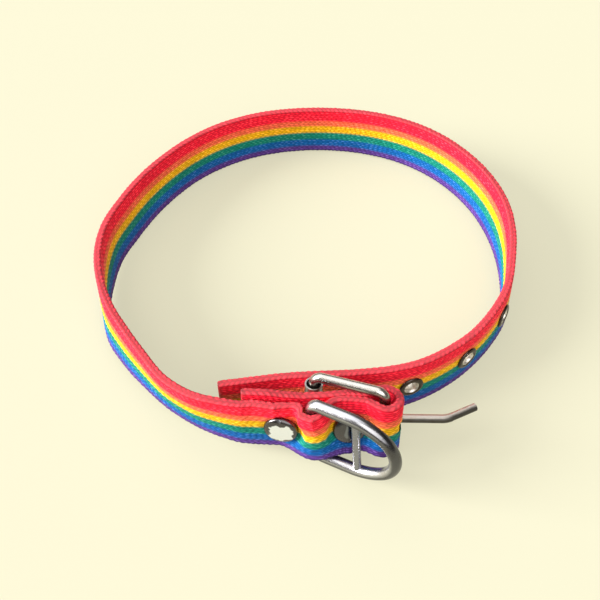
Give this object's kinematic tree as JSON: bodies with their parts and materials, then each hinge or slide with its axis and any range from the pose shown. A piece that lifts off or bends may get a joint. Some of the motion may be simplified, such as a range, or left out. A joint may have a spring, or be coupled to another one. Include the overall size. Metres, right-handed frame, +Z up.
{
  "type": "pet collar",
  "caption": "Rainbow striped webbing collar laid in an open loop, with a roller pin buckle, a swinging wire leash ring, domed rivets and metal eyelets to set its fit.",
  "frame": {"origin": "centre of the object's box in plan, on the floor plane that the lower edge of the webbing stands on", "axes": "+X to the right along the buckle side, +Y from the buckle to the back of the loop, +Z up across the width of the webbing"},
  "size_m": [0.121, 0.1274, 0.0264],
  "materials": {
    "webbing": "woven rainbow stripe",
    "frame_nickel": "polished nickel plate",
    "roller_nickel": "polished nickel plate",
    "prong_nickel": "polished nickel plate",
    "ring_nickel": "polished nickel plate",
    "crossbar_nickel": "polished nickel plate",
    "rivet_nickel": "polished nickel plate",
    "eyelet_nickel": "polished nickel plate",
    "washer_nickel": "polished nickel plate"
  },
  "bodies": {
    "strap": {"webbing_strap": "webbing", "rivet_1_stem": "rivet_nickel", "rivet_1_cap": "rivet_nickel", "rivet_2_stem": "rivet_nickel", "rivet_2_cap": "rivet_nickel", "eyelet_1": "eyelet_nickel", "eyelet_1_washer": "washer_nickel", "eyelet_2": "eyelet_nickel", "eyelet_2_washer": "washer_nickel", "eyelet_3": "eyelet_nickel", "eyelet_3_washer": "washer_nickel"},
    "frame": {"buckle_frame": "frame_nickel"},
    "roller": {"buckle_roller": "roller_nickel"},
    "prong": {"buckle_prong": "prong_nickel"},
    "ring": {"leash_ring": "ring_nickel", "leash_ring_crossbar": "crossbar_nickel"}
  },
  "joints": [
    {"name": "leash_ring_swing", "type": "hinge", "parent": "strap", "child": "ring", "pos_m": [0.0016, -0.05265, 0.01288], "axis": [-0.0872, 0.1386, 0.9865], "range_deg": [-126, 9]},
    {"name": "buckle_frame_swing", "type": "hinge", "parent": "strap", "child": "frame", "pos_m": [0.0187, -0.04979, 0.0124], "axis": [0, 0.225, 0.9744], "range_deg": [-2, 0.8]},
    {"name": "roller_spin", "type": "hinge", "parent": "frame", "child": "roller", "pos_m": [0.00131, -0.04455, 0.01119], "axis": [0, 0.225, 0.9744], "continuous": true},
    {"name": "prong_swing", "type": "hinge", "parent": "strap", "child": "prong", "pos_m": [0.0187, -0.04979, 0.0124], "axis": [0, 0.225, 0.9744], "range_deg": [-22, 28]}
  ]
}
